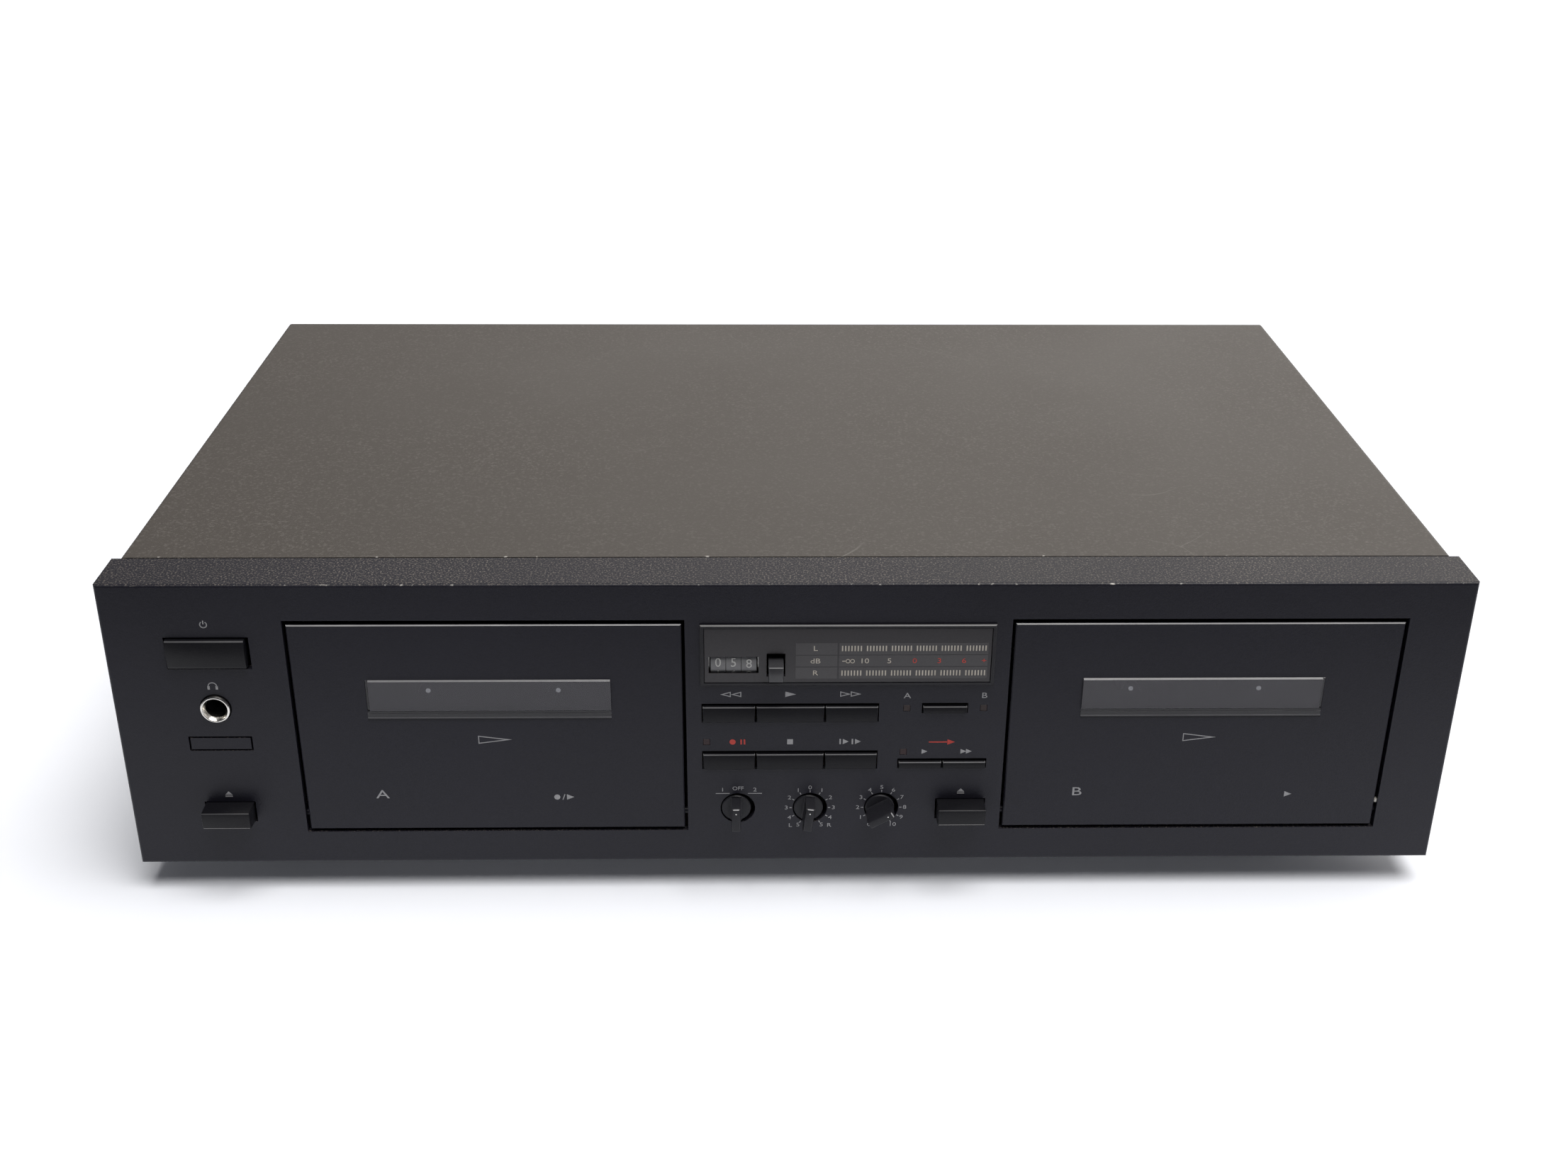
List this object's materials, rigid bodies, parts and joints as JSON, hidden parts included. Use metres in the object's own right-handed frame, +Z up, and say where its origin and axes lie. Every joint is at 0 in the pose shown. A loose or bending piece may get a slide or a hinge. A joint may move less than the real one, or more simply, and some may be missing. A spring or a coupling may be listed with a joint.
{
  "type": "double cassette deck",
  "caption": "Low, wide hi-fi double cassette deck: hinged cassette doors, push-key transport controls, rotary knobs, tape counter and level meter in a steel case with a moulded front.",
  "frame": {"origin": "under the middle of the whole deck, on the surface it stands on", "axes": "+X to the right seen from the front, +Y to the rear, +Z up"},
  "size_m": [0.435, 0.2764, 0.115],
  "materials": {
    "panel_plastic": "fine satin moulding, near black",
    "door_plastic": "fine satin moulding, near black",
    "cover_paint": "textured dark grey-brown paint, scuffed",
    "plated_steel": "zinc plated sheet",
    "screw_steel": "black oxide",
    "foot_plastic": "moulded black foot",
    "window_plastic": "smoked window with printed mask",
    "meter_glass": "dark bar display",
    "lens_plastic": "smoked clear pane",
    "wheel_plastic": "grey wheel with light figures",
    "key_plastic": "black satin key",
    "knob_plastic": "black satin knob",
    "holder_plastic": "black moulding",
    "reel_plastic": "pale grey moulding",
    "board_laminate": "brown paper laminate",
    "switch_plastic": "black moulding",
    "lamp_plastic": "tinted lamp",
    "socket_nickel": "nickel plate",
    "gland_plastic": "black moulding",
    "core_iron": "varnished laminations",
    "motor_steel": "plated can",
    "flywheel_brass": "turned brass",
    "belt_rubber": "black rubber"
  },
  "bodies": {
    "case": {"front_panel": "panel_plastic", "blanking_plate": "panel_plastic", "top_cover": "cover_paint", "bottom_plate": "plated_steel", "rear_panel": "plated_steel", "mechanism_frame_a": "plated_steel", "mechanism_frame_b": "plated_steel", "counter_frame": "plated_steel", "case_screws": "screw_steel", "feet": "foot_plastic", "display_window": "window_plastic", "level_meter": "meter_glass", "circuit_boards": "board_laminate", "push_switches": "switch_plastic", "potentiometers": "switch_plastic", "power_switch": "switch_plastic", "indicator_lamps": "lamp_plastic", "headphone_jack": "socket_nickel", "line_jacks": "socket_nickel", "mains_gland": "gland_plastic", "power_transformer": "core_iron", "drive_motors": "motor_steel", "drive_belts": "belt_rubber"},
    "door_a": {"door_a": "door_plastic", "door_lens_a": "lens_plastic", "cassette_holder_a": "holder_plastic"},
    "eject_button_a": {"eject_button_a": "key_plastic"},
    "flywheel_a": {"flywheel_a": "flywheel_brass"},
    "motor_pulley_a": {"motor_pulley_a": "motor_steel"},
    "supply_reel_a": {"supply_reel_a": "reel_plastic"},
    "take_up_reel_a": {"take_up_reel_a": "reel_plastic"},
    "head_bridge_a": {"head_bridge_a": "plated_steel"},
    "pinch_roller_a": {"pinch_roller_a": "belt_rubber"},
    "door_b": {"door_b": "door_plastic", "door_lens_b": "lens_plastic", "cassette_holder_b": "holder_plastic"},
    "eject_button_b": {"eject_button_b": "key_plastic"},
    "flywheel_b": {"flywheel_b": "flywheel_brass"},
    "motor_pulley_b": {"motor_pulley_b": "motor_steel"},
    "supply_reel_b": {"supply_reel_b": "reel_plastic"},
    "take_up_reel_b": {"take_up_reel_b": "reel_plastic"},
    "head_bridge_b": {"head_bridge_b": "plated_steel"},
    "pinch_roller_b": {"pinch_roller_b": "belt_rubber"},
    "power_button": {"power_button": "key_plastic"},
    "rewind_button": {"rewind_button": "key_plastic"},
    "play_button": {"play_button": "key_plastic"},
    "fast_forward_button": {"fast_forward_button": "key_plastic"},
    "record_pause_button": {"record_pause_button": "key_plastic"},
    "stop_button": {"stop_button": "key_plastic"},
    "mute_search_button": {"mute_search_button": "key_plastic"},
    "deck_selector_button": {"deck_selector_button": "key_plastic"},
    "dub_normal_button": {"dub_normal_button": "key_plastic"},
    "dub_high_button": {"dub_high_button": "key_plastic"},
    "counter_reset_button": {"counter_reset_button": "key_plastic"},
    "nr_knob": {"nr_knob": "knob_plastic"},
    "balance_knob": {"balance_knob": "knob_plastic"},
    "rec_level_knob": {"rec_level_knob": "knob_plastic"},
    "counter_hundreds_wheel": {"counter_hundreds_wheel": "wheel_plastic"},
    "counter_tens_wheel": {"counter_tens_wheel": "wheel_plastic"},
    "counter_units_wheel": {"counter_units_wheel": "wheel_plastic"}
  },
  "joints": [
    {"name": "door_a_hinge", "type": "hinge", "parent": "case", "child": "door_a", "pos_m": [-0.0972, -0.12725, 0.0293], "axis": [1, 0, 0], "range_deg": [0, 25]},
    {"name": "eject_button_a_press", "type": "slide", "parent": "case", "child": "eject_button_a", "axis": [0, 1, 0], "range_m": [0, 0.005], "stiffness_N_per_m": 300},
    {"name": "flywheel_a_spin", "type": "hinge", "parent": "case", "child": "flywheel_a", "pos_m": [-0.0702, -0.10025, 0.0447], "axis": [0, 1, 0], "continuous": true},
    {"name": "motor_pulley_a_spin", "type": "hinge", "parent": "case", "child": "motor_pulley_a", "pos_m": [-0.1272, -0.10025, 0.0447], "axis": [0, 1, 0], "continuous": true},
    {"name": "supply_reel_a_spin", "type": "hinge", "parent": "case", "child": "supply_reel_a", "pos_m": [-0.11845, -0.11025, 0.0714], "axis": [0, 1, 0], "continuous": true},
    {"name": "take_up_reel_a_spin", "type": "hinge", "parent": "case", "child": "take_up_reel_a", "pos_m": [-0.07595, -0.11025, 0.0714], "axis": [0, 1, 0], "continuous": true},
    {"name": "head_bridge_a_lift", "type": "slide", "parent": "case", "child": "head_bridge_a", "axis": [0, 0, 1], "range_m": [0, 0.0065], "stiffness_N_per_m": 150},
    {"name": "pinch_roller_a_spin", "type": "hinge", "parent": "head_bridge_a", "child": "pinch_roller_a", "pos_m": [-0.0702, -0.11675, 0.0319], "axis": [0, 1, 0], "continuous": true},
    {"name": "door_b_hinge", "type": "hinge", "parent": "case", "child": "door_b", "pos_m": [0.1338, -0.12725, 0.0293], "axis": [1, 0, 0], "range_deg": [0, 25]},
    {"name": "eject_button_b_press", "type": "slide", "parent": "case", "child": "eject_button_b", "axis": [0, 1, 0], "range_m": [0, 0.005], "stiffness_N_per_m": 300},
    {"name": "flywheel_b_spin", "type": "hinge", "parent": "case", "child": "flywheel_b", "pos_m": [0.1608, -0.10025, 0.0447], "axis": [0, 1, 0], "continuous": true},
    {"name": "motor_pulley_b_spin", "type": "hinge", "parent": "case", "child": "motor_pulley_b", "pos_m": [0.1038, -0.10025, 0.0447], "axis": [0, 1, 0], "continuous": true},
    {"name": "supply_reel_b_spin", "type": "hinge", "parent": "case", "child": "supply_reel_b", "pos_m": [0.11255, -0.11025, 0.0714], "axis": [0, 1, 0], "continuous": true},
    {"name": "take_up_reel_b_spin", "type": "hinge", "parent": "case", "child": "take_up_reel_b", "pos_m": [0.15505, -0.11025, 0.0714], "axis": [0, 1, 0], "continuous": true},
    {"name": "head_bridge_b_lift", "type": "slide", "parent": "case", "child": "head_bridge_b", "axis": [0, 0, 1], "range_m": [0, 0.0065], "stiffness_N_per_m": 150},
    {"name": "pinch_roller_b_spin", "type": "hinge", "parent": "head_bridge_b", "child": "pinch_roller_b", "pos_m": [0.1608, -0.11675, 0.0319], "axis": [0, 1, 0], "continuous": true},
    {"name": "power_button_press", "type": "slide", "parent": "case", "child": "power_button", "axis": [0, 1, 0], "range_m": [0, 0.004], "stiffness_N_per_m": 300},
    {"name": "rewind_button_press", "type": "slide", "parent": "case", "child": "rewind_button", "axis": [0, 1, 0], "range_m": [0, 0.0008], "stiffness_N_per_m": 600},
    {"name": "play_button_press", "type": "slide", "parent": "case", "child": "play_button", "axis": [0, 1, 0], "range_m": [0, 0.0008], "stiffness_N_per_m": 600},
    {"name": "fast_forward_button_press", "type": "slide", "parent": "case", "child": "fast_forward_button", "axis": [0, 1, 0], "range_m": [0, 0.0008], "stiffness_N_per_m": 600},
    {"name": "record_pause_button_press", "type": "slide", "parent": "case", "child": "record_pause_button", "axis": [0, 1, 0], "range_m": [0, 0.0008], "stiffness_N_per_m": 600},
    {"name": "stop_button_press", "type": "slide", "parent": "case", "child": "stop_button", "axis": [0, 1, 0], "range_m": [0, 0.0008], "stiffness_N_per_m": 600},
    {"name": "mute_search_button_press", "type": "slide", "parent": "case", "child": "mute_search_button", "axis": [0, 1, 0], "range_m": [0, 0.0008], "stiffness_N_per_m": 600},
    {"name": "deck_selector_button_press", "type": "slide", "parent": "case", "child": "deck_selector_button", "axis": [0, 1, 0], "range_m": [0, 0.0008], "stiffness_N_per_m": 600},
    {"name": "dub_normal_button_press", "type": "slide", "parent": "case", "child": "dub_normal_button", "axis": [0, 1, 0], "range_m": [0, 0.0008], "stiffness_N_per_m": 600},
    {"name": "dub_high_button_press", "type": "slide", "parent": "case", "child": "dub_high_button", "axis": [0, 1, 0], "range_m": [0, 0.0008], "stiffness_N_per_m": 600},
    {"name": "counter_reset_button_press", "type": "slide", "parent": "case", "child": "counter_reset_button", "axis": [0, 1, 0], "range_m": [0, 0.002], "stiffness_N_per_m": 300},
    {"name": "nr_knob_turn", "type": "hinge", "parent": "case", "child": "nr_knob", "pos_m": [-0.0177, -0.13025, 0.0319], "axis": [0, 1, 0], "range_deg": [-35, 35]},
    {"name": "balance_knob_turn", "type": "hinge", "parent": "case", "child": "balance_knob", "pos_m": [0.0063, -0.13025, 0.0319], "axis": [0, 1, 0], "range_deg": [-157, 143]},
    {"name": "rec_level_knob_turn", "type": "hinge", "parent": "case", "child": "rec_level_knob", "pos_m": [0.0301, -0.13025, 0.0319], "axis": [0, 1, 0], "range_deg": [-210, 90]},
    {"name": "counter_hundreds_wheel_spin", "type": "hinge", "parent": "case", "child": "counter_hundreds_wheel", "pos_m": [-0.0233, -0.1237, 0.0865], "axis": [1, 0, 0], "continuous": true},
    {"name": "counter_tens_wheel_spin", "type": "hinge", "parent": "case", "child": "counter_tens_wheel", "pos_m": [-0.01835, -0.1237, 0.0865], "axis": [1, 0, 0], "continuous": true},
    {"name": "counter_units_wheel_spin", "type": "hinge", "parent": "case", "child": "counter_units_wheel", "pos_m": [-0.0134, -0.1237, 0.0865], "axis": [1, 0, 0], "continuous": true}
  ],
  "couplings": [
    {"joint": "motor_pulley_a_spin", "follows": "flywheel_a_spin", "ratio": 4.8},
    {"joint": "pinch_roller_a_spin", "follows": "flywheel_a_spin", "ratio": -0.2},
    {"joint": "motor_pulley_b_spin", "follows": "flywheel_b_spin", "ratio": 4.8},
    {"joint": "pinch_roller_b_spin", "follows": "flywheel_b_spin", "ratio": -0.2},
    {"joint": "counter_tens_wheel_spin", "follows": "counter_units_wheel_spin", "ratio": 0.1},
    {"joint": "counter_hundreds_wheel_spin", "follows": "counter_units_wheel_spin", "ratio": 0.01}
  ]
}
